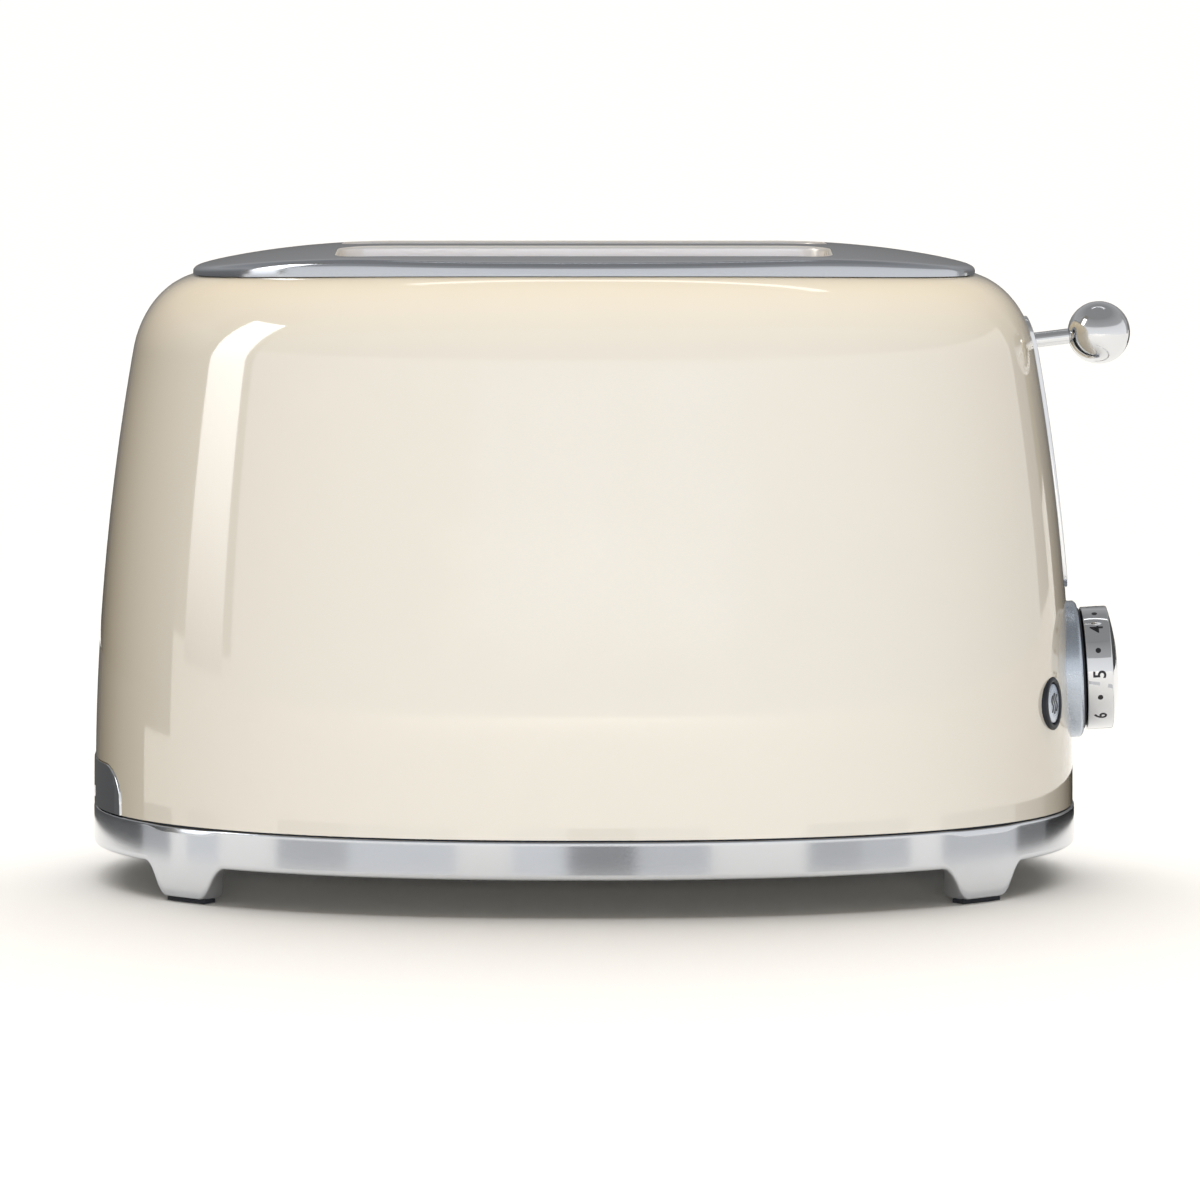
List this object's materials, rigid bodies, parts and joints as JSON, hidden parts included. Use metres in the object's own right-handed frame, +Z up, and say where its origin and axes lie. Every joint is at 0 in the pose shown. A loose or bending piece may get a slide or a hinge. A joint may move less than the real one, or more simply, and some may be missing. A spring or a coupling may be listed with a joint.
{
  "type": "pop up toaster",
  "caption": "Two-slot pop-up toaster with an oval enamelled shell, metal top and base, side lever, browning dial, push buttons and pull-out crumb tray.",
  "frame": {"origin": "on the surface it stands on, under the middle of the whole box including the lever's ball", "axes": "+X towards the lever and dial end, +Y towards the back, +Z up"},
  "size_m": [0.3246, 0.195, 0.198],
  "materials": {
    "enamel": "gloss cream enamel",
    "polished_steel": "polished",
    "satin_chrome": "satin",
    "chrome": "mirror",
    "galvanised_steel": "dull zinc",
    "spring_steel": "drawn wire",
    "black_plastic": "moulded",
    "rubber": "matt",
    "mica": "pressed mica board",
    "heater_ribbon": "oxidised",
    "copper_winding": "varnished winding",
    "circuit_board": "solder mask"
  },
  "bodies": {
    "housing": {"base_frame": "satin_chrome", "base_screw_1": "galvanised_steel", "base_screw_2": "galvanised_steel", "base_screw_3": "galvanised_steel", "base_screw_4": "galvanised_steel", "body_shell": "enamel", "bottom_plate": "galvanised_steel", "chassis_plate_lever_end": "galvanised_steel", "chassis_plate_rear_end": "galvanised_steel", "control_board": "circuit_board", "cord_gland": "rubber", "cord_hook_left": "black_plastic", "cord_hook_right": "black_plastic", "defrost_button_rim": "black_plastic", "defrost_switch": "black_plastic", "dial_bezel": "satin_chrome", "dial_potentiometer": "black_plastic", "dial_shadow_ring": "black_plastic", "foot_pad_back_left": "rubber", "foot_pad_back_right": "rubber", "foot_pad_front_left": "rubber", "foot_pad_front_right": "rubber", "guide_rod_back": "galvanised_steel", "guide_rod_front": "galvanised_steel", "heat_shield_back": "polished_steel", "heat_shield_front": "polished_steel", "heater_card_back": "mica", "heater_card_front": "mica", "heater_card_middle": "mica", "heater_ribbon_inner_back": "heater_ribbon", "heater_ribbon_inner_front": "heater_ribbon", "heater_ribbon_outer_back": "heater_ribbon", "heater_ribbon_outer_front": "heater_ribbon", "lever_slot_trim": "chrome", "lift_spring": "spring_steel", "magnet_coil": "copper_winding", "magnet_core": "galvanised_steel", "reheat_button_rim": "black_plastic", "reheat_switch": "black_plastic", "terminal_block": "black_plastic", "top_panel": "polished_steel"},
    "lever_carriage": {"lever_arm": "chrome", "lever_ball": "chrome", "carriage": "galvanised_steel", "bread_rack_front": "spring_steel", "bread_rack_back": "spring_steel", "magnet_keeper": "galvanised_steel"},
    "dial": {"browning_dial": "chrome", "dial_shaft": "galvanised_steel"},
    "stop_button": {"stop_button": "chrome"},
    "reheat_button": {"reheat_button": "satin_chrome"},
    "defrost_button": {"defrost_button": "satin_chrome"},
    "crumb_tray": {"crumb_tray": "galvanised_steel", "crumb_tray_handle": "chrome"},
    "bread_guard_inner_back": {"bread_guard_inner_back": "spring_steel"},
    "bread_guard_inner_front": {"bread_guard_inner_front": "spring_steel"},
    "bread_guard_outer_back": {"bread_guard_outer_back": "spring_steel"},
    "bread_guard_outer_front": {"bread_guard_outer_front": "spring_steel"}
  },
  "joints": [
    {"name": "lever_slide", "type": "slide", "parent": "housing", "child": "lever_carriage", "axis": [0, 0, 1], "range_m": [-0.064, 0], "stiffness_N_per_m": 40, "springref_m": 0.06, "deforming": ["lift_spring"]},
    {"name": "dial_turn", "type": "hinge", "parent": "housing", "child": "dial", "pos_m": [0.14413, 0, 0.0646], "axis": [0.9984, 0, 0.0558], "range_deg": [-135, 90]},
    {"name": "stop_press", "type": "slide", "parent": "dial", "child": "stop_button", "axis": [0.9984, 0, 0.0558], "range_m": [-0.0012, 0], "stiffness_N_per_m": 400, "springref_m": 0.001},
    {"name": "reheat_press", "type": "slide", "parent": "housing", "child": "reheat_button", "axis": [0.9382, -0.3415, 0.0558], "range_m": [-0.001, 0], "stiffness_N_per_m": 400, "springref_m": 0.001},
    {"name": "defrost_press", "type": "slide", "parent": "housing", "child": "defrost_button", "axis": [0.9382, 0.3415, 0.0558], "range_m": [-0.001, 0], "stiffness_N_per_m": 400, "springref_m": 0.001},
    {"name": "tray_pull", "type": "slide", "parent": "housing", "child": "crumb_tray", "axis": [-1, 0, 0], "range_m": [0, 0.16]},
    {"name": "bread_guard_inner_back_shift", "type": "slide", "parent": "housing", "child": "bread_guard_inner_back", "axis": [0, 1, 0], "range_m": [0, 0.011]},
    {"name": "bread_guard_inner_front_shift", "type": "slide", "parent": "housing", "child": "bread_guard_inner_front", "axis": [0, -1, 0], "range_m": [0, 0.011]},
    {"name": "bread_guard_outer_back_shift", "type": "slide", "parent": "housing", "child": "bread_guard_outer_back", "axis": [0, -1, 0], "range_m": [0, 0.011]},
    {"name": "bread_guard_outer_front_shift", "type": "slide", "parent": "housing", "child": "bread_guard_outer_front", "axis": [0, 1, 0], "range_m": [0, 0.011]}
  ],
  "couplings": [
    {"joint": "bread_guard_inner_back_shift", "follows": "lever_slide", "ratio": -0.17031},
    {"joint": "bread_guard_inner_front_shift", "follows": "lever_slide", "ratio": -0.17031},
    {"joint": "bread_guard_outer_back_shift", "follows": "lever_slide", "ratio": -0.17031},
    {"joint": "bread_guard_outer_front_shift", "follows": "lever_slide", "ratio": -0.17031}
  ]
}
